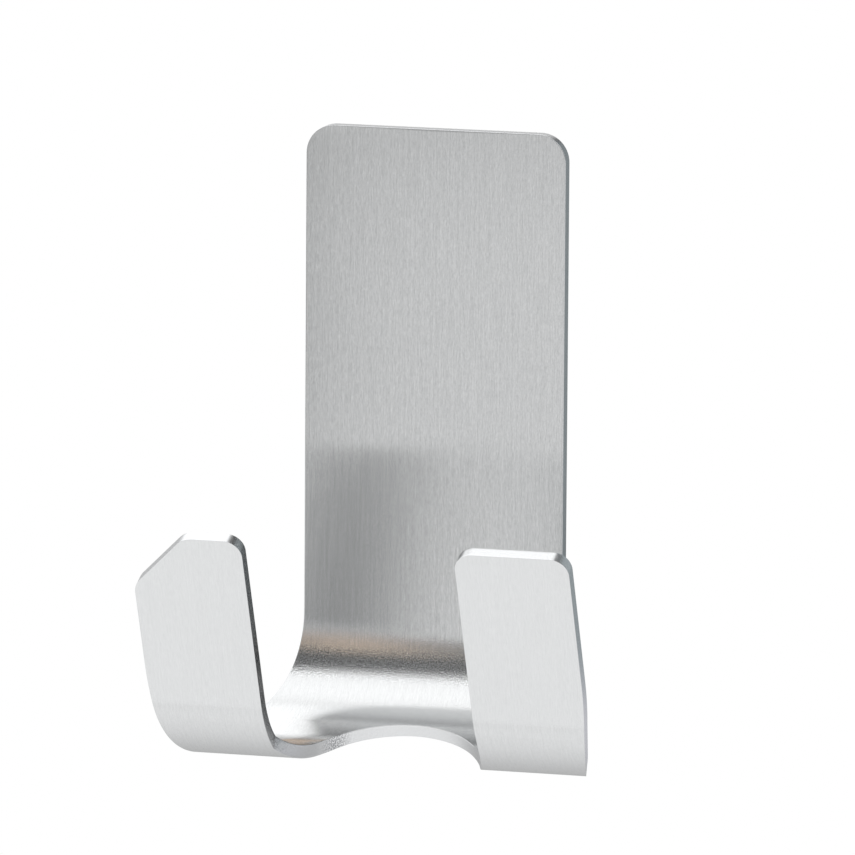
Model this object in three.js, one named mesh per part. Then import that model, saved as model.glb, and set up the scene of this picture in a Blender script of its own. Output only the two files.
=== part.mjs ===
// Adhesive double hook: one stamped and bent sheet of brushed stainless steel with two prongs, and behind
// its plate a die-cut double-sided pad, a foam carrier with an adhesive film on each side.
// Millimetres, +Z up. The wall is the plane y = 0 and the hook reaches out of it towards -Y. The origin is
// the middle of the pad's wall side.

import * as THREE from "three";
import { mergeVertices } from "three/addons/utils/BufferGeometryUtils.js";

const degrees = THREE.MathUtils.degToRad;

// Sheet and its bends, from the top of the plate to the tips of the prongs
const SHEET = 1.5;
const PLATE_HEIGHT = 55.7;
const BEND_RADIUS = 10.7;
const FIRST_BEND = degrees(72);
const SHELF = 3;
const LEAN = degrees(22);
const PRONG_RISE = 21;

// Outline of the flat blank
const PLATE_WIDTH = 30;
const PLATE_CORNER = 3.2;
const PRONG_SPAN = 50;
const PRONG_CORNER = 2;
const SLANT = 6.25;
const SLANT_CORNER = 2.5;
const SLOT_WIDTH = 24.2;
const SLOT_SIDES = 27.9;
const SLOT_TAPER = degrees(20.3);
const SLOT_DEPTH = 41.5;
const LEFT_SHOULDER = 0.5;
const RIGHT_SHOULDER = 25;
const FLARE_LEAD = 1.3;
const FLARE_TAIL = 16.2;
const FLARE_HOLLOW = 30;
const FLARE_ROUND = 54;

// Adhesive pad
const FOAM = 0.8;
const FILM = 0.1;
const PAD_MARGIN = 2;
const PAD_CORNER = 2.2;

// Fineness of the round stretches
const ARC_DIVISIONS = 6;
const BEND_STEP = degrees(4);
const LEAST_STEP = 0.03;

const STEEL = new THREE.MeshStandardMaterial({ color: 0xc3c5c7, roughness: 0.36, metalness: 1 });
const FOAM_WHITE = new THREE.MeshStandardMaterial({ color: 0xe4e2db, roughness: 0.9, metalness: 0 });
const CLEAR_ADHESIVE = new THREE.MeshStandardMaterial({ color: 0xd9d6c8, roughness: 0.28, metalness: 0 });

// The sheet's middle line is a chain of stretches. A bend turns it from down the wall, heading 0, through
// straight out, a quarter turn, to the prongs' heading, which falls short of half a turn by their lean.
const PAD_DEPTH = FOAM + 2 * FILM;
const MIDDLE_RADIUS = BEND_RADIUS + SHEET / 2;
const SECOND_BEND = Math.PI - LEAN - FIRST_BEND;
const STRETCHES = [
  { length: PLATE_HEIGHT, turn: 0 },
  { length: MIDDLE_RADIUS * FIRST_BEND, turn: FIRST_BEND },
  { length: SHELF, turn: 0 },
  { length: MIDDLE_RADIUS * SECOND_BEND, turn: SECOND_BEND },
  { length: PRONG_RISE, turn: 0 },
];
const BLANK_LENGTH = STRETCHES.reduce((sum, stretch) => sum + stretch.length, 0);

// Where the middle line is, as distance out from the wall and height, and its heading, at a run from the top
function middleLine(run) {
  let out = PAD_DEPTH + SHEET / 2;
  let height = PLATE_HEIGHT / 2;
  let heading = 0;
  let left = run;
  for (const { length, turn } of STRETCHES) {
    const part = Math.min(left, length);
    if (turn === 0) {
      out += part * Math.sin(heading);
      height -= part * Math.cos(heading);
    } else {
      const next = heading + (turn * part) / length;
      out += MIDDLE_RADIUS * (Math.cos(heading) - Math.cos(next));
      height -= MIDDLE_RADIUS * (Math.sin(next) - Math.sin(heading));
      heading = next;
    }
    left -= part;
    if (left <= 0) break;
  }
  return { out, height, heading };
}

// A point of the bent sheet: x across it, a run along it, and a side, +1 for the face inside the bends and
// -1 for the face outside them
function sheetPoint(x, run, side) {
  const { out, height, heading } = middleLine(run);
  const offset = (side * SHEET) / 2;
  return [x, -(out + offset * Math.cos(heading)), height + offset * Math.sin(heading)];
}

// Outer edge of the blank, as x against run: plate corner, plate side, a flare of two arcs and a slanted line
// between them, and the prong's side. The two arcs shrink together where the flare is too short for them.
function outerEdge() {
  const half = PLATE_WIDTH / 2;
  const prong = PRONG_SPAN / 2;
  const flareStart = PLATE_HEIGHT - FLARE_LEAD;
  const flareEnd = BLANK_LENGTH - FLARE_TAIL;
  const step = prong - half;
  const fall = flareEnd - flareStart;
  const room = (step * step + fall * fall) / (2 * step * (FLARE_HOLLOW + FLARE_ROUND));
  const hollow = FLARE_HOLLOW * Math.min(1, room);
  const round = FLARE_ROUND * Math.min(1, room);
  const across = hollow + round - step;
  const slope = Math.asin(Math.min(1, (hollow + round) / Math.hypot(fall, across))) - Math.atan2(across, fall);

  const edge = new THREE.Path();
  edge.absarc(half - PLATE_CORNER, PLATE_CORNER, PLATE_CORNER, -Math.PI / 2, 0, false);
  edge.absarc(half + hollow, flareStart, hollow, Math.PI, Math.PI - slope, true);
  edge.absarc(prong - round, flareEnd, round, -slope, 0, false);
  return edge;
}

// The right prong's outer edge ends in a rounded corner
function rightEdge() {
  const edge = outerEdge();
  edge.absarc(PRONG_SPAN / 2 - PRONG_CORNER, BLANK_LENGTH - PRONG_CORNER, PRONG_CORNER, 0, Math.PI / 2, false);
  return edge;
}

// The left prong's outer edge ends in a broad slanted corner, softened where it starts and ends
function leftEdge() {
  const edge = outerEdge();
  const prong = PRONG_SPAN / 2;
  const tangent = SLANT_CORNER * Math.tan(Math.PI / 8);
  const low = BLANK_LENGTH - SLANT - tangent;
  edge.absarc(prong - SLANT_CORNER, low, SLANT_CORNER, 0, Math.PI / 4, false);
  const high = BLANK_LENGTH - SLANT_CORNER;
  edge.absarc(prong - SLANT - tangent, high, SLANT_CORNER, Math.PI / 4, Math.PI / 2, false);
  return edge;
}

// Half of the slot between the prongs: a round end, a taper that touches it, a shoulder, a straight side and
// the prong's inner corner. The end's radius follows from the taper, and the shoulder shrinks where the taper is
// too short for it.
function slotEdge(shoulder) {
  const half = SLOT_WIDTH / 2;
  const sides = BLANK_LENGTH - SLOT_SIDES;
  const apex = BLANK_LENGTH - SLOT_DEPTH;
  const sine = Math.sin(SLOT_TAPER);
  const cosine = Math.cos(SLOT_TAPER);
  const depth = sides - apex;
  const end = Math.min(half * cosine - depth * sine, depth) / (1 - sine);
  const taper = (depth - end * (1 - sine)) / cosine;
  const rounding = Math.min(shoulder, taper / Math.tan(SLOT_TAPER / 2));
  const turn = sides + rounding * Math.tan(SLOT_TAPER / 2);
  const edge = new THREE.Path();
  edge.absarc(0, apex + end, end, -Math.PI / 2, -SLOT_TAPER, false);
  edge.absarc(half - rounding, turn, rounding, -SLOT_TAPER, 0, false);
  edge.absarc(half + PRONG_CORNER, BLANK_LENGTH - PRONG_CORNER, PRONG_CORNER, Math.PI, Math.PI / 2, true);
  return edge;
}

// x on an edge at a run; before the edge starts, its first x
function edgeAt(points, run) {
  const next = points.findIndex((point) => point.y >= run);
  if (next === 0) return points[0].x;
  if (next < 0) return points[points.length - 1].x;
  const from = points[next - 1];
  const to = points[next];
  return THREE.MathUtils.mapLinear(run, from.y, to.y, from.x, to.x);
}

// Runs at which the sheet is given a line of points: every point of the edges and every step of the bends
function stations(edges, slotApex) {
  const runs = edges.flatMap((points) => points.map((point) => point.y));
  let start = 0;
  for (const { length, turn } of STRETCHES) {
    const steps = Math.max(1, Math.round(turn / BEND_STEP));
    for (let i = 0; i <= steps; i += 1) runs.push(start + (length * i) / steps);
    start += length;
  }
  const kept = [];
  for (const run of runs.sort((a, b) => a - b)) {
    const near = kept.length > 0 && run - kept[kept.length - 1] < LEAST_STEP;
    const exact = run === slotApex || run === BLANK_LENGTH;
    if (near && exact) kept.pop();
    if (!near || exact) kept.push(run);
  }
  return kept;
}

// The hook: across each station the sheet is straight, because both bends run along X, so each half is a
// ribbon between the slot, or the middle line above it, and the outer edge
function steelHook() {
  const halves = [
    { hand: 1, slot: slotEdge(RIGHT_SHOULDER), outer: rightEdge() },
    { hand: -1, slot: slotEdge(LEFT_SHOULDER), outer: leftEdge() },
  ].map(({ hand, slot, outer }) => (
    { hand, slot: slot.getPoints(ARC_DIVISIONS), outer: outer.getPoints(ARC_DIVISIONS) }
  ));
  const slotApex = halves[0].slot[0].y;
  const runs = stations(halves.flatMap(({ slot, outer }) => [slot, outer]), slotApex);
  const positions = [];

  for (const { hand, slot, outer } of halves) {
    const quad = (a, b, c, d) => {
      const order = hand > 0 ? [a, b, c, a, c, d] : [a, c, b, a, d, c];
      positions.push(...order.flat());
    };
    const rows = runs.map((run) => {
      const near = hand * edgeAt(slot, run);
      const far = hand * edgeAt(outer, run);
      return {
        frontNear: sheetPoint(near, run, 1),
        frontFar: sheetPoint(far, run, 1),
        backNear: sheetPoint(near, run, -1),
        backFar: sheetPoint(far, run, -1),
      };
    });
    rows.slice(1).forEach((low, i) => {
      const top = rows[i];
      quad(top.frontNear, low.frontNear, low.frontFar, top.frontFar);
      quad(top.backNear, top.backFar, low.backFar, low.backNear);
      quad(top.frontFar, low.frontFar, low.backFar, top.backFar);
      if (runs[i] >= slotApex) quad(top.frontNear, top.backNear, low.backNear, low.frontNear);
    });
    const first = rows[0];
    const last = rows[rows.length - 1];
    quad(first.frontNear, first.frontFar, first.backFar, first.backNear);
    quad(last.frontNear, last.backNear, last.backFar, last.frontFar);
  }

  const soup = new THREE.BufferGeometry();
  soup.setAttribute("position", new THREE.Float32BufferAttribute(positions, 3));
  const geometry = mergeVertices(soup);
  geometry.computeVertexNormals();
  return geometry;
}

// One layer of the pad, a rounded rectangle on the flat of the plate, between two distances from the wall
function padLayer(from, thickness) {
  const width = PLATE_WIDTH - 2 * PAD_MARGIN;
  const height = PLATE_HEIGHT - 2 * PAD_MARGIN;
  const x = width / 2 - PAD_CORNER;
  const z = height / 2 - PAD_CORNER;
  const outline = new THREE.Shape();
  outline.absarc(x, -z, PAD_CORNER, -Math.PI / 2, 0, false);
  outline.absarc(x, z, PAD_CORNER, 0, Math.PI / 2, false);
  outline.absarc(-x, z, PAD_CORNER, Math.PI / 2, Math.PI, false);
  outline.absarc(-x, -z, PAD_CORNER, Math.PI, (3 * Math.PI) / 2, false);
  const options = { depth: thickness, bevelEnabled: false, curveSegments: ARC_DIVISIONS };
  const geometry = new THREE.ExtrudeGeometry(outline, options);
  geometry.rotateX(Math.PI / 2);
  geometry.translate(0, -from, 0);
  return geometry;
}

function named(name, geometry, material) {
  const mesh = new THREE.Mesh(geometry, material);
  mesh.name = name;
  return mesh;
}

const hook = new THREE.Group();
hook.name = "adhesive_double_hook";
hook.add(named("steel_hook", steelHook(), STEEL));
hook.add(named("plate_adhesive_film", padLayer(FOAM + FILM, FILM), CLEAR_ADHESIVE));
hook.add(named("foam_carrier", padLayer(FILM, FOAM), FOAM_WHITE));
hook.add(named("wall_adhesive_film", padLayer(0, FILM), CLEAR_ADHESIVE));

export default hook;
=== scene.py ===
# %% [markdown]
# # Dressing a bent steel double hook
# The hook is one sheet of brushed stainless steel: a tall plate that curves forward at its foot, widens,
# and splits into two prongs. A double-sided foam pad on the plate's back holds it to a wall. The CAD
# model gives every size. This lesson rebuilds its pieces as finer surfaces with finishes, sets up a small
# studio round them, and looks at them as the photograph does.

import math

import bmesh
import bpy
import numpy as np
from mathutils import Matrix, Vector


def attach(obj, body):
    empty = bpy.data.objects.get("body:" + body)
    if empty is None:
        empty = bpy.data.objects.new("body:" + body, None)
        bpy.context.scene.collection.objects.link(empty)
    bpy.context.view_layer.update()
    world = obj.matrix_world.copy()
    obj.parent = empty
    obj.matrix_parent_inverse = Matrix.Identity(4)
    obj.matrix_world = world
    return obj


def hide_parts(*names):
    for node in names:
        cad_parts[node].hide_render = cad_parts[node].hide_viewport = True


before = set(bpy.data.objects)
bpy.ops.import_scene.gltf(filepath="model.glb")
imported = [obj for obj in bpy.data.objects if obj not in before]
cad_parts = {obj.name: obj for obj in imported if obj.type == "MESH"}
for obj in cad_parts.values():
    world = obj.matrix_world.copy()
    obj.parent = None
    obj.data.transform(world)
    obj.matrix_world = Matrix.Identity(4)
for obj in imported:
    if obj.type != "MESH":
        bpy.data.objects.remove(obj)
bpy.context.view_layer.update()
MM = 0.001
print("frame has", len(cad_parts), "nodes")

# %% [markdown]
# ## The camera
# The photograph was taken from far away through a long lens: the prongs, which are nearer, come out
# hardly larger than the plate. The view is a little from the right and a little from above, and the
# camera was turned by a fraction of a degree, so uprights lean. A camera can be placed by eye with trial
# renders. Here its place comes from edges of the hook that were measured in the photograph, which leaves
# nothing to try.

# %% Place the camera
AZIMUTH = math.radians(16.87)
ELEVATION = math.radians(8.977)
ROLL = math.radians(0.394)
CAMERA_DISTANCE = 1257.73 * MM
LOOKED_AT = Vector((0, -12.5, -5.15)) * MM
AIM_RIGHT = 2.186 * MM
AIM_UP = 1.109 * MM
SENSOR_WIDTH = 36
LENS = 480
NEAREST_SEEN = 0.05
FARTHEST_SEEN = 20

towards_camera = Vector((
    math.sin(AZIMUTH) * math.cos(ELEVATION),
    -math.cos(AZIMUTH) * math.cos(ELEVATION),
    math.sin(ELEVATION),
))
level_right = Vector((math.cos(AZIMUTH), math.sin(AZIMUTH), 0))
level_up = towards_camera.cross(level_right)
eye = LOOKED_AT + CAMERA_DISTANCE * towards_camera
aim = LOOKED_AT + AIM_RIGHT * level_right + AIM_UP * level_up
back = (eye - aim).normalized()
right = Vector((0, 0, 1)).cross(back).normalized()
up = back.cross(right)
rolled_right = math.cos(ROLL) * right + math.sin(ROLL) * up
rolled_up = math.cos(ROLL) * up - math.sin(ROLL) * right

camera = bpy.data.objects.new("photo_camera", bpy.data.cameras.new("photo_camera"))
bpy.context.collection.objects.link(camera)
camera.matrix_world = Matrix((rolled_right, rolled_up, back)).transposed().to_4x4()
camera.location = eye
camera.data.sensor_width = SENSOR_WIDTH
camera.data.lens = LENS
camera.data.clip_start = NEAREST_SEEN
camera.data.clip_end = FARTHEST_SEEN
bpy.context.scene.camera = camera
print("camera at", [round(value, 3) for value in eye], "with a lens of", LENS, "mm")

# %% [markdown]
# ## The line that the sheet follows
# A press brake bends the flat blank twice about an axis across it. So the sheet is a flat drawing, given
# by x across it and a run along it from the top of the plate, carried along one line in the plane of y
# and z. Bending a flat mesh with modifiers would also do, but a formula keeps every length of the blank
# exact.

# %% The middle line of the sheet
SHEET = 1.5 * MM
PLATE_HEIGHT = 55.7 * MM
BEND_RADIUS = 10.7 * MM
FIRST_BEND = math.radians(72)
SHELF = 3 * MM
LEAN = math.radians(22)
PRONG_RISE = 21 * MM
PAD_DEPTH = 1 * MM

middle_radius = BEND_RADIUS + SHEET / 2
second_bend = math.pi - LEAN - FIRST_BEND
stretches = [
    (PLATE_HEIGHT, 0),
    (middle_radius * FIRST_BEND, FIRST_BEND),
    (SHELF, 0),
    (middle_radius * second_bend, second_bend),
    (PRONG_RISE, 0),
]
blank_length = sum(length for length, turn in stretches)


def bent(x, run, offset):
    """Points of the bent sheet for arrays of x, run and offset from the middle of its thickness.

    Each stretch adds its own part of the run: a straight one adds it along its heading, a bend adds
    radius * (cos of the old heading - cos of the new) outwards and radius * (sin new - sin old) downwards.
    The offset then goes along (cos heading, sin heading), which points to the inside of the bends.
    """
    out = np.full(np.shape(run), PAD_DEPTH + SHEET / 2)
    height = np.full(np.shape(run), PLATE_HEIGHT / 2)
    heading = np.zeros(np.shape(run))
    start = 0
    base = 0
    for length, turn in stretches:
        part = np.clip(run - start, 0, length)
        if turn:
            angle = turn * part / length
            out = out + middle_radius * (np.cos(base) - np.cos(base + angle))
            height = height - middle_radius * (np.sin(base + angle) - np.sin(base))
            heading = heading + angle
        else:
            out = out + part * np.sin(base)
            height = height - part * np.cos(base)
        start += length
        base += turn
    out = out + offset * np.cos(heading)
    height = height + offset * np.sin(heading)
    return np.stack(np.broadcast_arrays(x, -out, height), axis=-1)


print("blank length in mm:", round(blank_length / MM, 2))

# %% [markdown]
# ## The outline of the blank
# The punch that cut the blank left it with rounded corners, a flare from the plate to the prongs, and a
# slot between the prongs that narrows to a round end. Where the slot starts to narrow, its left side has
# a sharp shoulder and its right side a soft one. The left prong's outer corner is slanted, the others are
# small radii. Every outline here is a row of points with the direction that faces away from the metal,
# because the edge is rolled over in that direction later. Lines and arcs join smoothly, so the directions
# do too.

# %% Outline of the blank
PLATE_HALF = 15 * MM
PLATE_CORNER = 3.2 * MM
PRONG_HALF = 25 * MM
PRONG_CORNER = 2 * MM
SLANT = 6.25 * MM
SLANT_CORNER = 2.5 * MM
SLOT_HALF = 12.1 * MM
SLOT_SIDES = 27.9 * MM
SLOT_TAPER = math.radians(20.3)
SLOT_DEPTH = 41.5 * MM
LEFT_SHOULDER = 0.5 * MM
RIGHT_SHOULDER = 25 * MM
FLARE_LEAD = 1.3 * MM
FLARE_TAIL = 16.2 * MM
FLARE_HOLLOW = 30 * MM
FLARE_ROUND = 54 * MM

flare_start = PLATE_HEIGHT - FLARE_LEAD
flare_end = blank_length - FLARE_TAIL
slot_apex = blank_length - SLOT_DEPTH
slot_narrowing = (SLOT_DEPTH - SLOT_SIDES) * math.sin(SLOT_TAPER)
slot_end = (SLOT_HALF * math.cos(SLOT_TAPER) - slot_narrowing) / (1 - math.sin(SLOT_TAPER))
flare_across = FLARE_HOLLOW + FLARE_ROUND - (PRONG_HALF - PLATE_HALF)
flare_fall = flare_end - flare_start
flare_slope = math.asin(
    (FLARE_HOLLOW + FLARE_ROUND) / math.hypot(flare_fall, flare_across)
) - math.atan2(flare_across, flare_fall)


def steps(start, end, count):
    """Evenly spaced values from start, which is left out, to end."""
    return np.linspace(start, end, count + 1)[1:]


def arc(centre, radii, angles, facing=1):
    """Points centre + radii * (cos, sin), with the unit direction (cos / radius, sin / radius), away from
    the centre, or towards it where facing is -1."""
    turn = np.stack([np.cos(angles), np.sin(angles)], axis=-1)
    away = turn / np.asarray(radii)
    away = facing * away / np.linalg.norm(away, axis=-1, keepdims=True)
    return np.hstack([np.asarray(centre) + np.asarray(radii) * turn, away])


def upright(x, runs, facing):
    """Points on a line along the run at one x, facing +x or -x."""
    ones = np.ones_like(runs)
    return np.stack([x * ones, runs, facing * ones, 0 * ones], axis=-1)


def flare(runs):
    """The outer edge below the plate's corner, as x of the run: the plate's side, a hollow arc, a slanted
    line, a round arc and the prong's side. It faces (1, -slope of x), made a unit direction."""
    hollow_end = flare_start + FLARE_HOLLOW * math.sin(flare_slope)
    round_start = flare_end - FLARE_ROUND * math.sin(flare_slope)
    into = np.clip(runs - flare_start, 0, FLARE_HOLLOW * math.sin(flare_slope))
    left = np.clip(flare_end - runs, 0, FLARE_ROUND * math.sin(flare_slope))
    between = np.clip(runs - hollow_end, 0, round_start - hollow_end)
    hollow_x = FLARE_HOLLOW - np.sqrt(FLARE_HOLLOW**2 - into**2)
    round_x = FLARE_ROUND * (np.cos(np.arcsin(left / FLARE_ROUND)) - math.cos(flare_slope))
    x = PLATE_HALF + hollow_x + between * math.tan(flare_slope) + round_x
    angle = np.minimum(np.arcsin(into / FLARE_HOLLOW), np.arcsin(left / FLARE_ROUND))
    return np.stack([x, runs, np.cos(angle), -np.sin(angle)], axis=-1)


print("slope of the flare in degrees:", round(math.degrees(flare_slope), 2))

# %% [markdown]
# ## Rows across the sheet
# Each half of the blank is filled with rows that run from its inner edge, the middle line or the slot, to
# its outer edge. The rows are bunched where an edge turns quickly, such as at the corners and at the
# slot's end.

# %% Inner and outer edges of the two halves
CORNER_ROWS = 14
PLATE_ROWS = 60
FLARE_ROWS = 44
SLOT_END_ROWS = 44
TAPER_ROWS = 15
SHOULDER_ROWS = 5
SLOT_ROWS = SLOT_END_ROWS + TAPER_ROWS + SHOULDER_ROWS
PRONG_ROWS = 44

quarter = math.pi / 2
inner_corner_centre = (SLOT_HALF + PRONG_CORNER, blank_length - PRONG_CORNER)
middle_runs = np.concatenate([
    np.linspace(0, PLATE_CORNER, CORNER_ROWS + 1),
    steps(PLATE_CORNER, flare_start, PLATE_ROWS),
    steps(flare_start, slot_apex, FLARE_ROWS),
])
apex_row = len(middle_runs) - 1
outer_start = np.concatenate([
    arc((PLATE_HALF - PLATE_CORNER, PLATE_CORNER), (PLATE_CORNER, PLATE_CORNER),
        np.linspace(-quarter, 0, CORNER_ROWS + 1)),
    flare(middle_runs[CORNER_ROWS + 1:]),
])


def slot_edge(shoulder):
    """The slot's edge from its end to its straight side: an arc of the end's radius, a taper that touches it
    and an arc of the shoulder's radius, which touches the taper and the side."""
    turn = blank_length - SLOT_SIDES + shoulder * math.tan(SLOT_TAPER / 2)
    end_angles = steps(-quarter, -SLOT_TAPER, SLOT_END_ROWS)
    end = arc((0, slot_apex + slot_end), (slot_end, slot_end), end_angles, -1)
    shoulder_angles = np.linspace(-SLOT_TAPER, 0, SHOULDER_ROWS + 1)
    corner = arc((SLOT_HALF - shoulder, turn), (shoulder, shoulder), shoulder_angles, -1)
    taper = end[-1] + steps(0, 1, TAPER_ROWS)[:-1, None] * (corner[0] - end[-1])
    return np.concatenate([end, taper, corner])


def half_blank(shoulder, tip_start, tip, corner_rows):
    """Inner and outer edge of one half, row by row, each as x, run and facing. The tip is the outer edge's
    end, and the rows of the inner corner are its last."""
    slot = slot_edge(shoulder)
    straight = steps(slot[-1, 1], tip_start, PRONG_ROWS)
    rest = steps(tip_start, blank_length - PRONG_CORNER, len(tip) - corner_rows)
    inner = np.concatenate([
        upright(0, middle_runs, -1),
        slot,
        upright(SLOT_HALF, straight, -1),
        upright(SLOT_HALF, rest, -1),
        arc(inner_corner_centre, (PRONG_CORNER, PRONG_CORNER), steps(math.pi, quarter, corner_rows)),
    ])
    beside_slot = flare(steps(slot_apex, slot[-1, 1], SLOT_ROWS))
    outer = np.concatenate([outer_start, beside_slot, flare(straight), tip])
    return inner, outer


round_tip = arc((PRONG_HALF - PRONG_CORNER, blank_length - PRONG_CORNER), (PRONG_CORNER, PRONG_CORNER),
                steps(0, quarter, CORNER_ROWS))
slant_turn = quarter / 2
slant_tangent = SLANT_CORNER * math.tan(slant_turn / 2)
slant_low = blank_length - SLANT - slant_tangent
slant_radii = (SLANT_CORNER, SLANT_CORNER)
slant_first = arc((PRONG_HALF - SLANT_CORNER, slant_low), slant_radii, steps(0, slant_turn, CORNER_ROWS))
slant_last = arc((PRONG_HALF - SLANT - slant_tangent, blank_length - SLANT_CORNER), slant_radii,
                 np.linspace(slant_turn, quarter, CORNER_ROWS + 1))
slant_line = slant_first[-1] + steps(0, 1, CORNER_ROWS)[:-1, None] * (slant_last[0] - slant_first[-1])
slanted_tip = np.concatenate([slant_first, slant_line, slant_last])

right_half = half_blank(RIGHT_SHOULDER, blank_length - PRONG_CORNER, round_tip, CORNER_ROWS)
left_half = half_blank(LEFT_SHOULDER, slant_low, slanted_tip, CORNER_ROWS)
print("rows: right", len(right_half[0]), "left", len(left_half[0]))

# %% [markdown]
# ## The steel sheet
# A punched edge isn't sharp: the punch pulls the metal over on the side where it enters, and tumbling
# takes the burr off the other side. So the faces stop short of the outline by a small roll, and a band
# with rounded corners runs once round the whole outline, through plate, prongs and slot. The cuts that
# face down the sheet, at the prongs' tips and the slot's end, also slant by a tenth of a millimetre, as a
# die with some clearance leaves them. A Bevel modifier could round the edges too, but the band gives them
# a map of their own, along the cut and across its thickness.

# %% Build the steel sheet
COLUMNS = 22
HOLD = 0.004
ROLL_INSIDE = 0.07 * MM
ROLL_OUTSIDE = 0.02 * MM
END_SLANT = 0.1 * MM
ROLL_STEPS = 6
WALL_STEPS = 6
MERGE = 0.0005 * MM
MAP_NAME = "sheet"

across = np.concatenate([[0, HOLD], np.linspace(0, 1, COLUMNS)[1:-1], [1 - HOLD, 1]])


def mirrored(edge):
    """The same edge on the other side of the middle line: x and its facing change sign."""
    return edge * np.array([-1, 1, -1, 1])


def drawn_in(edge, roll, slant):
    """An edge's x and run, drawn in by the roll and, where it faces down the run, by the cut's slant."""
    depth = roll + slant * np.maximum(edge[:, 3], 0)
    return edge[:, 0] - depth * edge[:, 2], edge[:, 1] - depth * edge[:, 3]


def face_patch(half, offset, roll, slant):
    """Points of one face of one half and their map. Row i runs straight, in the blank, from the inner edge
    to the outer edge, both drawn in; above the slot the inner edge is the middle line."""
    inner, outer = half
    outer_x, outer_run = drawn_in(outer, roll, slant)
    inner_x, inner_run = drawn_in(inner, roll, slant)
    inner_x[:apex_row + 1] = 0
    share = middle_runs / slot_apex
    inner_run[:apex_row + 1] = roll + share * (slot_apex - 2 * roll - slant)
    x = inner_x[:, None] + across * (outer_x - inner_x)[:, None]
    run = inner_run[:, None] + across * (outer_run - inner_run)[:, None]
    return bent(x, run, offset), np.stack([x, run], axis=-1)


def row_end(half, row, facing):
    """The outline along a half's first or last row, from its inner to its outer edge."""
    inner, outer = half[0][row], half[1][row]
    x = inner[0] + across * (outer[0] - inner[0])
    ones = np.ones_like(x)
    return np.stack([x, outer[1] * ones, 0 * ones, facing * ones], axis=-1)


def loop_of(right, left):
    """The whole outline as one closed row: top, right side, tip, slot, left tip, left side and top again."""
    apex = np.array([[0, slot_apex, 0, 1]])
    return np.concatenate([
        row_end(right, 0, -1)[:-1],
        right[1][:-1],
        row_end(right, -1, 1)[::-1][:-1],
        right[0][apex_row + 1:][::-1],
        apex,
        mirrored(left[0][apex_row + 1:])[:-1],
        mirrored(row_end(left, -1, 1))[:-1],
        mirrored(left[1])[::-1][:-1],
        mirrored(row_end(left, 0, -1))[::-1],
    ])


def edge_profile():
    """Half round the thickness: a quarter turn of the inside roll, the wall, a quarter turn of the outside
    roll, as distance out from the outline and offset from the middle of the sheet."""
    turn = np.linspace(0, quarter, ROLL_STEPS + 1)
    wall = np.linspace(SHEET / 2 - ROLL_INSIDE, ROLL_OUTSIDE - SHEET / 2, WALL_STEPS + 1)[1:-1]
    out = np.concatenate([ROLL_INSIDE * (np.sin(turn) - 1), 0 * wall, ROLL_OUTSIDE * (np.cos(turn) - 1)])
    offset = np.concatenate([
        SHEET / 2 + ROLL_INSIDE * (np.cos(turn) - 1),
        wall,
        ROLL_OUTSIDE * (1 - np.sin(turn)) - SHEET / 2,
    ])
    return out, offset


def edge_patch():
    """Points of the band round the outline and their map, along the cut and across its thickness. Cuts that
    face down the run slant inwards evenly from the inside to the outside."""
    loop = loop_of(right_half, left_half)
    out, offset = edge_profile()
    girth = np.concatenate([[0], np.cumsum(np.hypot(np.diff(out), np.diff(offset)))])
    out = out - END_SLANT * np.maximum(loop[:, 3, None], 0) * (0.5 - offset / SHEET)
    x = loop[:, 0, None] + out * loop[:, 2, None]
    run = loop[:, 1, None] + out * loop[:, 3, None]
    along = np.concatenate([[0], np.cumsum(np.linalg.norm(np.diff(loop[:, :2], axis=0), axis=1))])
    return bent(x, run, offset), np.stack(np.broadcast_arrays(along[:, None], girth), axis=-1)


def grid_faces(rows, columns, first):
    """Quads between neighbours of a grid whose points are numbered row by row from first."""
    number = first + np.arange(rows * columns).reshape(rows, columns)
    corners = [number[:-1, :-1], number[1:, :-1], number[1:, 1:], number[:-1, 1:]]
    return np.stack(corners, axis=-1).reshape(-1, 4)


def piece_from(name, patches, materials):
    """One piece from grids of points, each with its map and the number of its material. Points that
    coincide are merged, and faces are turned outwards."""
    points = np.concatenate([patch[0].reshape(-1, 3) for patch in patches])
    maps = np.concatenate([patch[1].reshape(-1, 2) for patch in patches])
    first = np.cumsum([0] + [patch[0].size // 3 for patch in patches])
    quads = [grid_faces(*patch[0].shape[:2], start) for patch, start in zip(patches, first)]
    numbers = np.concatenate([np.full(len(q), patch[2]) for q, patch in zip(quads, patches)])
    mesh = bpy.data.meshes.new(name)
    mesh.from_pydata(points.tolist(), [], np.concatenate(quads).tolist())
    corners = np.empty(len(mesh.loops), np.int32)
    mesh.loops.foreach_get("vertex_index", corners)
    mesh.uv_layers.new(name=MAP_NAME).data.foreach_set("uv", maps[corners].astype(np.float32).ravel())
    mesh.polygons.foreach_set("material_index", numbers.astype(np.int32))
    edit = bmesh.new()
    edit.from_mesh(mesh)
    bmesh.ops.remove_doubles(edit, verts=edit.verts, dist=MERGE)
    bmesh.ops.recalc_face_normals(edit, faces=edit.faces)
    open_edges = sum(not edge.is_manifold for edge in edit.edges)
    edit.to_mesh(mesh)
    edit.free()
    mesh.shade_smooth()
    for material in materials:
        mesh.materials.append(material)
    piece = bpy.data.objects.new(name, mesh)
    bpy.context.collection.objects.link(piece)
    print(name, "has", len(mesh.vertices), "points,", len(mesh.polygons), "faces,", open_edges, "open edges")
    return piece


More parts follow.
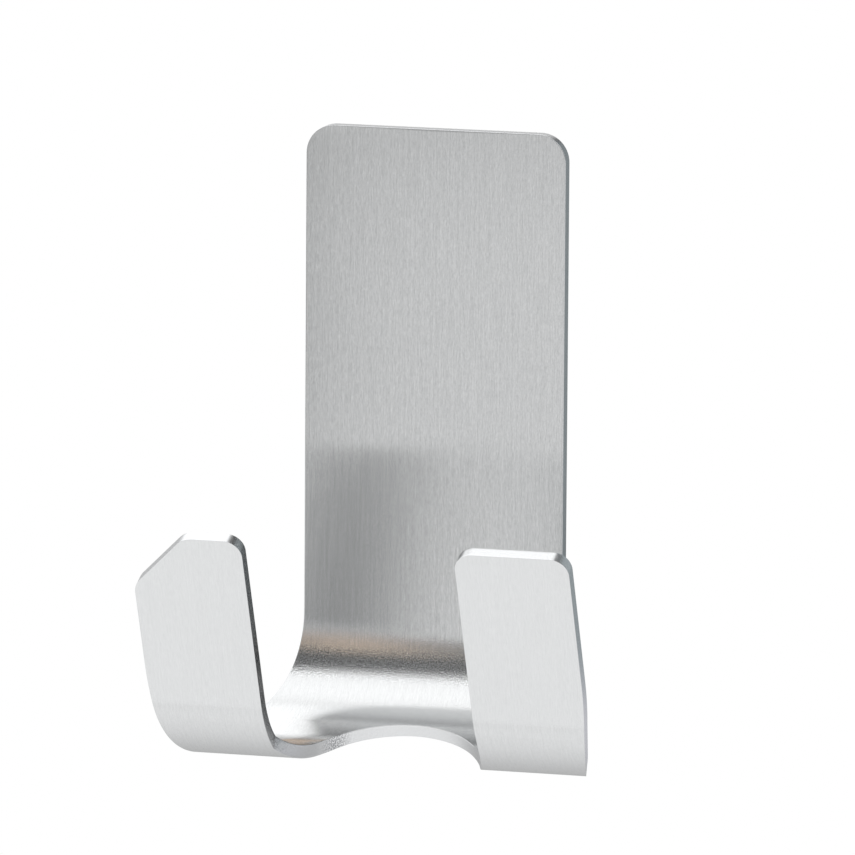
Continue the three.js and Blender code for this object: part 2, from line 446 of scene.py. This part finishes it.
brushed_steel = bpy.data.materials.new("brushed_steel")
sheared_steel = bpy.data.materials.new("sheared_steel")
left_mirrored = tuple(mirrored(edge) for edge in left_half)
sheet_patches = [
    (*face_patch(half, side * SHEET / 2, roll, slant), 0)
    for half in (right_half, left_mirrored)
    for side, roll, slant in ((1, ROLL_INSIDE, 0), (-1, ROLL_OUTSIDE, END_SLANT))
]
steel_sheet = piece_from("bent_steel_sheet", [*sheet_patches, (*edge_patch(), 1)],
                         [brushed_steel, sheared_steel])
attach(steel_sheet, "root")
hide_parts("steel_hook")

# %% [markdown]
# ## The adhesive pad
# A double-sided pad holds the hook: a thin foam core with a tacky coat on each side, laminated as a sheet
# and then cut out by a die. It is flat tape and not a cushion, so it needs no cloth simulation. The die
# squeezes the foam while it cuts, so the core springs back with sides that are slightly hollow, and each
# coat ends in a soft bead that wanders a little. Each layer is the pad's outline carried along a small
# profile.

# %% Outline of the pad
PAD_HALF_WIDTH = 13 * MM
PAD_HALF_HEIGHT = 25.85 * MM
PAD_CORNER = 2.2 * MM
PAD_CORNER_POINTS = 10
PAD_SIDE_POINTS = 40


def pad_outline():
    """The pad's outline as a closed row of x, z and the direction facing out: four quarter circles, and
    straight sides from the end of each to the start of the next."""
    reach = np.array([PAD_HALF_WIDTH - PAD_CORNER, PAD_HALF_HEIGHT - PAD_CORNER])
    turned = np.linspace(0, 1, PAD_CORNER_POINTS + 1)
    corners = [
        arc(reach * hand, (PAD_CORNER, PAD_CORNER), quarter * (turn + turned))
        for turn, hand in enumerate(np.array([(1, 1), (-1, 1), (-1, -1), (1, -1)]))
    ]
    between = steps(0, 1, PAD_SIDE_POINTS)[:-1, None]
    parts = []
    for turn, corner in enumerate(corners):
        following = corners[(turn + 1) % len(corners)]
        parts += [corner, corner[-1] + between * (following[0] - corner[-1])]
    return np.concatenate([*parts, corners[0][:1]])


pad_loop = pad_outline()
print("pad outline has", len(pad_loop), "points")

# %% Build the three layers
FOAM = 0.8 * MM
FILM = 0.1 * MM
FOAM_HOLLOW = 0.09 * MM
FOAM_ROUND = 0.03 * MM
BEAD = 0.03 * MM
FOAM_WANDER = 0.025 * MM
COAT_WANDER = 0.06 * MM
FOAM_WAVES = (3, 7, 12, 19)
PLATE_COAT_WAVES = (2, 5, 11, 23)
WALL_COAT_WAVES = (3, 4, 13, 21)
FACE_RINGS = 12
SIDE_RINGS = 9


def wander(amount, waves):
    """An uneven inset along the pad's outline, from 0 to the amount: the mean of sines with whole numbers of
    waves, so that it closes on itself."""
    along = np.linspace(0, 2 * math.pi, len(pad_loop))[:, None]
    number = np.array(waves)
    return amount * (0.5 + 0.5 * np.sin(number * along + number**2).mean(axis=1))


def pad_layer(name, low, high, side_inset, uneven, material):
    """A layer between two distances from the wall. Rings grow from the middle of the low face to the
    outline, climb the side with an inset at each height, and shrink to the middle of the high face."""
    heights = np.linspace(low, high, len(side_inset))
    share = np.concatenate([np.linspace(0, 1, FACE_RINGS)[:-1], np.ones_like(heights),
                            np.linspace(1, 0, FACE_RINGS)[1:]])
    inset = np.concatenate([np.full(FACE_RINGS - 1, side_inset[0]), side_inset,
                            np.full(FACE_RINGS - 1, side_inset[-1])])
    depth = np.concatenate([np.full(FACE_RINGS - 1, low), heights, np.full(FACE_RINGS - 1, high)])
    inwards = (inset[:, None] + uneven)[..., None]
    flat = share[:, None, None] * (pad_loop[:, :2] - inwards * pad_loop[:, 2:])
    points = np.stack(np.broadcast_arrays(flat[..., 0], -depth[:, None], flat[..., 1]), axis=-1)
    layer = piece_from(name, [(points, flat, 0)], [material])
    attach(layer, "root")
    return layer


# Up the side from -1 to 1: a hollow with soft rounds at both faces, and half an ellipse
side_height = np.linspace(-1, 1, SIDE_RINGS)
foam_side = FOAM_HOLLOW * (1 - side_height**2) + FOAM_ROUND * side_height**8
bead_side = BEAD * (1 - np.sqrt(1 - side_height**2))
white_foam = bpy.data.materials.new("white_foam")
tacky_coat = bpy.data.materials.new("tacky_coat")

foam_core = pad_layer("foam_pad_core", FILM, FILM + FOAM, foam_side,
                      wander(FOAM_WANDER, FOAM_WAVES), white_foam)
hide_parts("foam_carrier")
plate_coat = pad_layer("plate_adhesive_coat", FILM + FOAM, PAD_DEPTH, bead_side,
                       wander(COAT_WANDER, PLATE_COAT_WAVES), tacky_coat)
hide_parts("plate_adhesive_film")
wall_coat = pad_layer("wall_adhesive_coat", 0, FILM, bead_side,
                      wander(COAT_WANDER, WALL_COAT_WAVES), tacky_coat)
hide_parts("wall_adhesive_film")

# %% [markdown]
# ## Brushed steel
# An abrasive belt drew fine scratches along the sheet before it was cut and bent, so the grain follows
# the run of the sheet through both bends. The scratches spread reflections sideways, which the shader's
# anisotropy does, and they differ in depth, so some lines are paler and some duller. The prongs are the
# part that hands rub, so from the first bend on the lines fade. An image of scratched steel would do as
# well, but noise stretched along the sheet's own map has no seams and stays sharp at any distance.

# %% Helpers for node trees
# A Mix node has sockets for every kind of data: these are its share, its two colours and its mixed colour
MIX_INPUTS = (0, 6, 7)
MIX_OUTPUT = 2


def feed(tree, socket, value):
    """Gives a socket a number, a colour as (red, green, blue) or a link from another socket."""
    if isinstance(value, bpy.types.NodeSocket):
        tree.links.new(value, socket)
    elif isinstance(value, tuple):
        socket.default_value = (*value, 1)
    else:
        socket.default_value = value


def connect(tree, node, **inputs):
    """Feeds a node's named sockets."""
    for name, value in inputs.items():
        feed(tree, node.inputs[name.replace("_", " ")], value)


def add(tree, kind, **inputs):
    """A new node of that kind with its named sockets fed."""
    node = tree.nodes.new(kind)
    connect(tree, node, **inputs)
    return node


def combine(tree, operation, *values):
    """The result of a Math node on numbers or sockets."""
    node = tree.nodes.new("ShaderNodeMath")
    node.operation = operation
    for socket, value in zip(node.inputs, values):
        feed(tree, socket, value)
    return node.outputs["Value"]


def ranged(tree, value, start, end, low=0, high=1, kind="LINEAR"):
    """A value from start to end turned into one from low to high, and held there beyond those ends."""
    node = add(tree, "ShaderNodeMapRange", Value=value, From_Min=start, From_Max=end,
               To_Min=low, To_Max=high)
    node.interpolation_type = kind
    return node.outputs["Result"]


def mixed(tree, share, first, second, kind="MIX"):
    """Two colours mixed by a share, each of the three a socket or a plain value."""
    node = tree.nodes.new("ShaderNodeMix")
    node.data_type = "RGBA"
    node.blend_type = kind
    for number, value in zip(MIX_INPUTS, (share, first, second)):
        feed(tree, node.inputs[number], value)
    return node.outputs[MIX_OUTPUT]


def bumped(tree, height, distance):
    """The directions of a surface raised by a height, where a height of 1 is the distance in metres."""
    return add(tree, "ShaderNodeBump", Strength=1, Distance=distance, Height=height).outputs["Normal"]


def own_map(tree):
    """The map that every piece was given when it was built."""
    node = tree.nodes.new("ShaderNodeUVMap")
    node.uv_map = MAP_NAME
    return node.outputs["UV"]


def own_space(tree):
    """The piece's own x, y and z."""
    return tree.nodes.new("ShaderNodeTexCoord").outputs["Object"]


def start_material(material):
    """Empties a material's nodes and gives it a Principled shader, which is returned with its tree."""
    material.use_nodes = True
    tree = material.node_tree
    tree.nodes.clear()
    shader = tree.nodes.new("ShaderNodeBsdfPrincipled")
    add(tree, "ShaderNodeOutputMaterial", Surface=shader.outputs["BSDF"])
    return tree, shader


def new_group(name, inputs, outputs):
    """A shader node group with float or vector inputs and float outputs, and its two end nodes."""
    group = bpy.data.node_groups.new(name, "ShaderNodeTree")
    for label, kind, value in inputs:
        socket = group.interface.new_socket(label, in_out="INPUT", socket_type=kind)
        if value is not None:
            socket.default_value = value
    for label in outputs:
        group.interface.new_socket(label, in_out="OUTPUT", socket_type="NodeSocketFloat")
    return group, group.nodes.new("NodeGroupInput"), group.nodes.new("NodeGroupOutput")


def place_group(tree, group, source, **inputs):
    """The group placed in a material, reading the given map."""
    node = tree.nodes.new("ShaderNodeGroup")
    node.node_tree = group
    connect(tree, node, Map=source, **inputs)
    return node


# %% A group for scratches
SCRATCH_DETAIL = 4
SCRATCH_ROUGHNESS = 0.6

scratches, scratch_in, scratch_out = new_group(
    "scratches",
    [("Map", "NodeSocketVector", None), ("Across", "NodeSocketFloat", 1), ("Along", "NodeSocketFloat", 1),
     ("Detail", "NodeSocketFloat", SCRATCH_DETAIL)],
    ["Line"],
)
stretch = add(scratches, "ShaderNodeCombineXYZ",
              X=scratch_in.outputs["Across"], Y=scratch_in.outputs["Along"])
scaled = scratches.nodes.new("ShaderNodeVectorMath")
scaled.operation = "MULTIPLY"
feed(scratches, scaled.inputs[0], scratch_in.outputs["Map"])
feed(scratches, scaled.inputs[1], stretch.outputs["Vector"])
noise = add(scratches, "ShaderNodeTexNoise", Vector=scaled.outputs["Vector"], Scale=1,
            Detail=scratch_in.outputs["Detail"], Roughness=SCRATCH_ROUGHNESS)
noise.noise_dimensions = "2D"
connect(scratches, scratch_out, Line=noise.outputs["Fac"])
print("scratches reads a map and puts out one line value")

# %% The brushed finish
# Spots of noise in a metre, across the grain and along it
FINE_LINES = {"Across": 6800, "Along": 900}
LONG_LINES = {"Across": 3600, "Along": 120}
GRIT = {"Across": 7000, "Along": 2600}
LONG_WEIGHT = 0.7
GRIT_WEIGHT = 0.8
STREAK_MIDDLE = 1.25
STREAK_CONTRAST = 1.3
WORN_CONTRAST = 0.5
WORN_FROM = 56 * MM
WORN_TO = 63 * MM
DULL_LINE = (0.69, 0.70, 0.705)
PALE_LINE = (0.88, 0.89, 0.895)
LINE_DEPTHS = (0.3, 0.7)
LINE_ROUGHNESS = (0.215, 0.185)

tree, shader = start_material(brushed_steel)
sheet_map = own_map(tree)
along_run = add(tree, "ShaderNodeSeparateXYZ", Vector=sheet_map).outputs["Y"]
fine_lines = place_group(tree, scratches, sheet_map, **FINE_LINES).outputs["Line"]
long_lines = place_group(tree, scratches, sheet_map, **LONG_LINES).outputs["Line"]
grit = place_group(tree, scratches, sheet_map, **GRIT).outputs["Line"]
streaks = combine(tree, "MULTIPLY_ADD", long_lines, LONG_WEIGHT, fine_lines)
streaks = combine(tree, "MULTIPLY_ADD", grit, GRIT_WEIGHT, streaks)
centred = combine(tree, "SUBTRACT", streaks, STREAK_MIDDLE)
contrast = ranged(tree, along_run, WORN_FROM, WORN_TO, STREAK_CONTRAST, WORN_CONTRAST)
streak_colour = mixed(tree, combine(tree, "MULTIPLY_ADD", centred, contrast, 0.5), DULL_LINE, PALE_LINE)
tangent = tree.nodes.new("ShaderNodeTangent")
tangent.direction_type = "UV_MAP"
tangent.uv_map = MAP_NAME
connect(
    tree, shader, Metallic=1, Anisotropic=1, Tangent=tangent.outputs["Tangent"],
    Roughness=ranged(tree, fine_lines, *LINE_DEPTHS, *LINE_ROUGHNESS),
)
print("brushed_steel has", len(tree.nodes), "nodes for its lines")

# %% [markdown]
# ## Grain in the bend
# Steel that is bent tightly comes out slightly rough, because its crystals turn by different amounts. The
# foot of the plate shows this as a fine speckle where it mirrors something dark beside something bright.
# Bumps that tilt the reflection make the border uneven. Bumps smaller than a pixel average out, so the
# speckle itself is painted: a second noise, near where the dark meets the bright, makes spots of the steel
# darker or brighter, as painted shade and painted highlight.

# %% Grain that bending raised
PEEL_SPOTS = {"Across": 10000, "Along": 5600, "Detail": 0}
PEEL_MIDDLE = 61.5 * MM
PEEL_REACH = 6.6 * MM
PEEL_HEIGHT = 0.01 * MM
# The painted speckle: its spots, where along the run it sits, and how far it darkens or brightens the steel
PAINTED_SPECKLE_SPOTS = {"Across": 7600, "Along": 5200, "Detail": 1}
PAINTED_SPECKLE_MIDDLE = 60.8 * MM
PAINTED_SPECKLE_REACH = 2.3 * MM
PAINTED_SPECKLE_CONTRAST = 2.0
PAINTED_SPECKLE_MOST = 1.2


def close_to(tree, middle, reach, most):
    """The most within half the reach of a place along the run, fading to 0 at the reach."""
    distance = combine(tree, "ABSOLUTE", combine(tree, "SUBTRACT", along_run, middle))
    return ranged(tree, distance, reach, reach / 2, 0, most)


peel = place_group(tree, scratches, sheet_map, **PEEL_SPOTS).outputs["Line"]
peel_height = combine(tree, "MULTIPLY", peel, close_to(tree, PEEL_MIDDLE, PEEL_REACH, 1))
# Painted shade and highlight: spots of the base colour made darker or brighter near where the bend's
# reflection turns from dark to bright
painted_speckle = place_group(tree, scratches, sheet_map, **PAINTED_SPECKLE_SPOTS).outputs["Line"]
painted_speckle_offset = combine(tree, "SUBTRACT", painted_speckle, 0.5)
painted_light_scale = combine(tree, "MULTIPLY_ADD", painted_speckle_offset, close_to(tree, PAINTED_SPECKLE_MIDDLE, PAINTED_SPECKLE_REACH, PAINTED_SPECKLE_CONTRAST), 1)
painted_speckle_colour = tree.nodes.new("ShaderNodeVectorMath")
painted_speckle_colour.operation = "SCALE"
feed(tree, painted_speckle_colour.inputs[0], streak_colour)
connect(tree, painted_speckle_colour, Scale=combine(tree, "MINIMUM", painted_light_scale, PAINTED_SPECKLE_MOST))
connect(tree, shader, Base_Color=painted_speckle_colour.outputs["Vector"], Normal=bumped(tree, peel_height, PEEL_HEIGHT))
print("brushed_steel has", len(tree.nodes), "nodes with its grain")

# %% [markdown]
# ## The sheared edge
# The punch slices through the first part of the sheet and tears off the rest, so a cut is pale and satin
# with dark specks. The specks are faint everywhere and gather in two spots on the slot's edge where the
# tool was worn. It is a material of its own because the belt's lines never reached it.

# %% The sheared edge
TORN = {"Across": 7000, "Along": 5500}
TORN_SPOTS = [
    (Vector((-8.0, -13.0, -39.8)) * MM, 2.8 * MM),
    (Vector((-12.1, -22.4, -38.3)) * MM, 1.4 * MM),
]
TORN_EVERYWHERE = 0.12
SPECK_DEPTHS = (0.57, 0.42)
CUT_COLOUR = (0.83, 0.84, 0.85)
SPECK_COLOUR = (0.31, 0.315, 0.33)
TORN_HEIGHT = 0.003 * MM
CUT_ROUGHNESS = 0.27

tree, shader = start_material(sheared_steel)
place = own_space(tree)
torn = place_group(tree, scratches, own_map(tree), **TORN).outputs["Line"]
torn_share = TORN_EVERYWHERE
for spot, reach in TORN_SPOTS:
    away = tree.nodes.new("ShaderNodeVectorMath")
    away.operation = "DISTANCE"
    away.inputs[1].default_value = spot
    feed(tree, away.inputs[0], place)
    fade = ranged(tree, away.outputs["Value"], reach, 0, kind="SMOOTHSTEP")
    torn_share = combine(tree, "MAXIMUM", fade, torn_share)
speck = combine(tree, "MULTIPLY", ranged(tree, torn, *SPECK_DEPTHS), torn_share)
connect(
    tree, shader, Metallic=1, Roughness=CUT_ROUGHNESS,
    Base_Color=mixed(tree, speck, CUT_COLOUR, SPECK_COLOUR),
    Normal=bumped(tree, torn, TORN_HEIGHT),
)
print("sheared_steel has", len(tree.nodes), "nodes")

# %% [markdown]
# ## Foam and adhesive
# The foam is white and matt, and its cut side shows the closed cells as fine pits, with painted shade in
# them. The adhesive is a clear acrylic that looks creamy over the foam. The liner that was peeled off has
# left a faint print in it, and a few small bubbles are caught under it. Both finishes need round cells, so
# these are a group that each places with its own size.

# %% A group for cells
PATCH_SHARE = 0.12
PATCH_DETAIL = 3
PATCH_ROUGHNESS = 0.55

cells, cells_in, cells_out = new_group(
    "cells", [("Map", "NodeSocketVector", None), ("Scale", "NodeSocketFloat", 1)], ["Depth", "Patch"],
)
voronoi = add(cells, "ShaderNodeTexVoronoi", Vector=cells_in.outputs["Map"],
              Scale=cells_in.outputs["Scale"])
voronoi.feature = "SMOOTH_F1"
patches = add(cells, "ShaderNodeTexNoise", Vector=cells_in.outputs["Map"],
              Scale=combine(cells, "MULTIPLY", cells_in.outputs["Scale"], PATCH_SHARE),
              Detail=PATCH_DETAIL, Roughness=PATCH_ROUGHNESS)
connect(cells, cells_out, Depth=voronoi.outputs["Distance"], Patch=patches.outputs["Fac"])
print("cells puts out the depth of each cell and broad patches")

# %% The foam
FOAM_CELLS = 5200
# The darker colour is painted shade in the pits of the cells
FOAM_PIT_SHADE = (0.80, 0.79, 0.755)
FOAM_PALE = (0.90, 0.89, 0.865)
FOAM_ROUGHNESS = (0.82, 0.96)
CELL_DEPTH = 0.04 * MM

tree, shader = start_material(white_foam)
foam_cells = place_group(tree, cells, own_space(tree), Scale=FOAM_CELLS)
# The centre of each cell, its pit, is painted darker than the foam round it: painted shade in the pits
connect(
    tree, shader,
    Base_Color=mixed(tree, foam_cells.outputs["Depth"], FOAM_PIT_SHADE, FOAM_PALE),
    Roughness=ranged(tree, foam_cells.outputs["Patch"], 0, 1, *FOAM_ROUGHNESS),
    Normal=bumped(tree, foam_cells.outputs["Depth"], CELL_DEPTH),
)
print("white_foam has", len(tree.nodes), "nodes")

# %% The tacky coat
LINER_CELLS = 2600
BUBBLE_CELLS = 420
BUBBLE_EDGE = (0.2, 0.12)
BUBBLE_HEIGHT = 6
BUBBLE_COLOUR = (0.92, 0.915, 0.89)
COAT_DARK = (0.80, 0.79, 0.735)
COAT_PALE = (0.875, 0.865, 0.82)
LINER_PATCHES = (0.3, 0.7)
LINER_ROUGHNESS = (0.2, 0.36)
LINER_HEIGHT = 0.004 * MM
GLOSS = 0.35
GLOSS_ROUGHNESS = 0.12

tree, shader = start_material(tacky_coat)
place = own_space(tree)
liner_print = place_group(tree, cells, place, Scale=LINER_CELLS)
bubbles = place_group(tree, cells, place, Scale=BUBBLE_CELLS)
bubble = ranged(tree, bubbles.outputs["Depth"], *BUBBLE_EDGE, kind="SMOOTHSTEP")
coat_colour = mixed(tree, bubbles.outputs["Patch"], COAT_DARK, COAT_PALE)
coat_height = combine(tree, "MULTIPLY_ADD", bubble, BUBBLE_HEIGHT, liner_print.outputs["Depth"])
connect(
    tree, shader, Coat_Weight=GLOSS, Coat_Roughness=GLOSS_ROUGHNESS,
    Base_Color=mixed(tree, bubble, coat_colour, BUBBLE_COLOUR),
    Roughness=ranged(tree, liner_print.outputs["Patch"], *LINER_PATCHES, *LINER_ROUGHNESS),
    Normal=bumped(tree, coat_height, LINER_HEIGHT),
)
print("tacky_coat has", len(tree.nodes), "nodes")

# %% [markdown]
# ## The studio
# Steel has no colour of its own to speak of: it shows what is round it. A photographer stands white, grey
# and dark cards round such a piece to model it. The world is white to the camera and to reflections, and
# a little dimmer as a light.

# %% World
SEEN_LEVEL = 1.0
LIGHT_LEVEL = 0.9

world = bpy.data.worlds.new("white_studio")
bpy.context.scene.world = world
world.use_nodes = True
tree = world.node_tree
tree.nodes.clear()
paths = tree.nodes.new("ShaderNodeLightPath")
seen = combine(tree, "MAXIMUM", paths.outputs["Is Camera Ray"], paths.outputs["Is Glossy Ray"])
seen = combine(tree, "MAXIMUM", seen, paths.outputs["Is Transmission Ray"])
background = add(tree, "ShaderNodeBackground", Color=(1, 1, 1),
                 Strength=ranged(tree, seen, 0, 1, LIGHT_LEVEL, SEEN_LEVEL))
add(tree, "ShaderNodeOutputWorld", Surface=background.outputs["Background"])
print("white_studio has", len(tree.nodes), "nodes")

# %% [markdown]
# ## Cards
# Six cards stand where the metal mirrors them, and only reflections see them. A tall card in front is
# what the plate shows, a softbox overhead and a card behind light the bends, a dark flag shades the
# plate's left half, a slate board on the right is what the cut edges on that side mirror, and a curved
# card below shades the prongs as they turn under. Each is graded along its length, as a lamp grades a
# real card. The foot of the plate also mirrors the insides of the prongs, which mirror the cards in turn.
# In a real studio those second looks reach walls and a bench that no card stands for, so the cards have a
# second grading for them. The alternative is to build the room, of which nothing is known.

# %% Helpers for cards
# A ray that has met metal twice has a depth of 2 where it meets a card
TWICE_MIRRORED = 1.5
SWEEP_ROWS = 25


def paint_ramp(tree, place, stops):
    """A colour ramp along a card with colours at places from 0 to 1. A lone number is a grey."""
    ramp = tree.nodes.new("ShaderNodeValToRGB")
    while len(ramp.color_ramp.elements) < len(stops):
        ramp.color_ramp.elements.new(0.5)
    for element, (position, rgb) in zip(ramp.color_ramp.elements, stops):
        element.position = position
        element.color = (*rgb, 1) if isinstance(rgb, tuple) else (rgb, rgb, rgb, 1)
    tree.links.new(place, ramp.inputs["Fac"])
    return ramp.outputs["Color"]


def card_colour(tree, parts, stops, sideways):
    """A card's grading along its length, times the one sideways where that is given."""
    colour = paint_ramp(tree, parts.outputs["Y"], stops)
    if not sideways:
        return colour
    return mixed(tree, 1, colour, paint_ramp(tree, parts.outputs["X"], sideways), "MULTIPLY")


def card_paint(name, stops, strength=1, again=None, sideways=None, again_sideways=None):
    """A card's glowing paint, graded along the card and, where asked, sideways. Where again is given, a
    reflection of a reflection sees that grading instead, with its own sideways one. The glow isn't sampled
    as a lamp, because light sampled so arrives with a depth that is one reflection short."""
    paint = bpy.data.materials.new(name)
    paint.cycles.emission_sampling = "NONE"
    paint.use_nodes = True
    tree = paint.node_tree
    tree.nodes.clear()
    parts = add(tree, "ShaderNodeSeparateXYZ", Vector=own_map(tree))
    colour = card_colour(tree, parts, stops, sideways)
    if again:
        paths = tree.nodes.new("ShaderNodeLightPath")
        twice = combine(tree, "GREATER_THAN", paths.outputs["Glossy Depth"], TWICE_MIRRORED)
        colour = mixed(tree, twice, colour, card_colour(tree, parts, again, again_sideways))
    glow = add(tree, "ShaderNodeEmission", Color=colour, Strength=strength)
    add(tree, "ShaderNodeOutputMaterial", Surface=glow.outputs["Emission"])
    return paint


def stand_card(name, points, paint):
    """A card on a grid of points, mapped 0 to 1 along both its sides, that only reflections see."""
    rows, columns = points.shape[:2]
    across_map, along_map = np.meshgrid(np.linspace(0, 1, columns), np.linspace(0, 1, rows))
    card = piece_from(name, [(points, np.stack([across_map, along_map], axis=-1), 0)], [paint])
    card.visible_camera = False
    card.visible_diffuse = False
    card.visible_transmission = False
    card.visible_volume_scatter = False
    card.visible_shadow = False


def sweep(angles, radius, x_range):
    """A card curved about the x axis: y = -radius cos, z = radius sin, between two angles in degrees, where
    0 is straight in front of the hook and 90 is straight above it. Lengths are in mm."""
    angle = np.radians(np.linspace(*angles, SWEEP_ROWS))[:, None]
    x = np.array(x_range)
    return MM * np.stack(np.broadcast_arrays(x, -radius * np.cos(angle), radius * np.sin(angle)), axis=-1)


def flat_card(x_range, y, heights):
    """An upright card at one y, with lengths in mm."""
    x = np.array(x_range)
    z = np.array(heights)[:, None]
    return MM * np.stack(np.broadcast_arrays(x, y, z), axis=-1)


def graded(low, high, *stops):
    """Stops given between a card's two ends, as places from 0 to 1."""
    return [((value - low) / (high - low), rgb) for value, rgb in stops]


# %% Wide cards in front, overhead and behind
# Flat cards are graded by height in mm, curved ones by angle in degrees, and sideways by x in mm
WIDE = (-1500, 1500)
FAR = 800
FRONT_Y = -250
FRONT_HEIGHTS = (-150, 220)
SOFTBOX_ANGLES = (44, 100)
BACK_ANGLES = (100, 190)
ONLY_LEFT = graded(*WIDE, (-50, 1), (20, 0.4), (90, 0.1), (300, 0.03))

front_paint = card_paint(
    "front_card",
    graded(*FRONT_HEIGHTS, (-150, 0.95), (-100, 0.8), (-80, 0.73), (-46, 0.72), (-22, 0.72), (-12, 0.68),
           (-2, 0.62), (10, 0.5), (26, 0.36), (44, 0.29), (82, 0.27), (102, 0.22), (142, 0.185),
           (168, 0.195), (200, 0.21), (220, 0.22)),
    again=[(0, 0.06), (1, 0.06)],
)
softbox_paint = card_paint(
    "softbox",
    graded(*SOFTBOX_ANGLES, (44, 0.22), (47, 0.34), (50, 0.52), (54, 0.78), (58, 0.88), (66, 0.93),
           (78, 0.96), (88, 0.94), (100, 0.9)),
    strength=1.3,
    again=graded(*SOFTBOX_ANGLES, (44, 0.08), (48, 0.15), (54, 0.35), (60, 0.54), (66, 0.68), (72, 0.74),
                 (78, 0.77), (84, 0.77), (88, 0.45), (92, 0.09), (96, 0.06), (100, 0.2)),
    again_sideways=ONLY_LEFT,
)
back_paint = card_paint(
    "back_card",
    graded(*BACK_ANGLES, (100, 0.84), (106, 0.92), (112, 0.98), (124, 1.0), (140, 1.0), (152, 0.5),
           (165, 0.4), (190, 0.36)),
    strength=1.4,
    again=graded(*BACK_ANGLES, (100, (0.3, 0.24, 0.19)), (105, (0.68, 0.55, 0.43)), (110, (0.7, 0.55, 0.42)),
                 (115, (0.8, 0.62, 0.48)), (120, (0.76, 0.59, 0.46)), (127, (0.46, 0.38, 0.33)),
                 (134, 0.33), (141, 0.28), (148, 0.14), (158, 0.18), (190, 0.18)),
    sideways=ONLY_LEFT,
    again_sideways=ONLY_LEFT,
)
stand_card("front_card", flat_card(WIDE, FRONT_Y, FRONT_HEIGHTS), front_paint)
stand_card("overhead_softbox", sweep(SOFTBOX_ANGLES, FAR, WIDE), softbox_paint)
stand_card("back_card", sweep(BACK_ANGLES, FAR, WIDE), back_paint)

# %% Cards at the sides and below
FLAG_X = (-100, -34)
FLAG_Y = -45
FLAG_HEIGHTS = (-20, 21)
BOARD_X = (15, 90)
BOARD_Y = 6
BOARD_HEIGHTS = (-45, 50)
BELOW_ANGLES = (-170, -58)
BELOW_RADIUS = 280

flag_paint = card_paint(
    "left_flag", graded(*FLAG_HEIGHTS, (-20, 0.24), (-12, 0.17), (-6, 0.11), (21, 0.1)),
)
board_paint = card_paint(
    "slate_board",
    graded(*BOARD_HEIGHTS, (-45, (0.82, 0.82, 0.86)), (-39, (0.66, 0.66, 0.7)), (-35, (0.48, 0.5, 0.53)),
           (-31, (0.34, 0.375, 0.39)), (-20, (0.33, 0.365, 0.38)), (-12, (0.385, 0.425, 0.44)),
           (50, (0.385, 0.425, 0.44))),
    sideways=graded(*BOARD_X, (15, 0.62), (22, 0.66), (36, 0.92), (50, 1)),
)
below_paint = card_paint(
    "grey_card", graded(*BELOW_ANGLES, (-170, 0.38), (-120, 0.62), (-90, 0.82), (-70, 0.9), (-58, 0.88)),
)
stand_card("left_flag", flat_card(FLAG_X, FLAG_Y, FLAG_HEIGHTS), flag_paint)
stand_card("right_board", flat_card(BOARD_X, BOARD_Y, BOARD_HEIGHTS), board_paint)
stand_card("card_below", sweep(BELOW_ANGLES, BELOW_RADIUS, WIDE), below_paint)

# %% [markdown]
# ## Floor and lamp
# The hook was photographed against plain white with nothing under it, as if on a glass shelf. So the
# floor lies well below it, out of the photograph's view, and takes the soft shadow of a broad lamp
# overhead. The lamp stays out of reflections, where the cards do its work.

# %% Floor and lamp
FLOOR_HEIGHT = -0.3
FLOOR_X = (-1.6, 1.6)
FLOOR_Y = (-1.6, 1.1)
FLOOR_POINTS = 9
FLOOR_DARK = (0.87, 0.87, 0.87)
FLOOR_PALE = (0.90, 0.90, 0.90)
FLOOR_ROUGHNESS = 0.9
FLOOR_SHEEN = 0.1
HAZE_SCALE = 3
HAZE_DETAIL = 4
LAMP_PLACE = (-0.25, -0.35, 0.9)
LAMP_SIZE = 0.7
LAMP_POWER = 3

pale_floor = bpy.data.materials.new("pale_floor")
tree, shader = start_material(pale_floor)
haze = add(tree, "ShaderNodeTexNoise", Vector=own_space(tree), Scale=HAZE_SCALE, Detail=HAZE_DETAIL)
connect(
    tree, shader, Roughness=FLOOR_ROUGHNESS, Specular_IOR_Level=FLOOR_SHEEN,
    Base_Color=mixed(tree, haze.outputs["Fac"], FLOOR_DARK, FLOOR_PALE),
)

floor_x, floor_y = np.meshgrid(np.linspace(*FLOOR_X, FLOOR_POINTS), np.linspace(*FLOOR_Y, FLOOR_POINTS))
floor_points = np.stack(np.broadcast_arrays(floor_x, floor_y, FLOOR_HEIGHT), axis=-1)
floor = piece_from("studio_floor", [(floor_points, floor_points[..., :2], 0)], [pale_floor])

lamp = bpy.data.objects.new("overhead_lamp", bpy.data.lights.new("overhead_lamp", "AREA"))
bpy.context.collection.objects.link(lamp)
lamp.location = LAMP_PLACE
lamp.rotation_euler = (-Vector(LAMP_PLACE)).to_track_quat("-Z", "Y").to_euler()
lamp.data.size = LAMP_SIZE
lamp.data.energy = LAMP_POWER
lamp.visible_glossy = False
lamp.visible_camera = False
print("floor at", FLOOR_HEIGHT, "m, lamp of", LAMP_POWER, "W at", LAMP_PLACE)

# %% Finish
bpy.context.scene.view_settings.view_transform = "Standard"
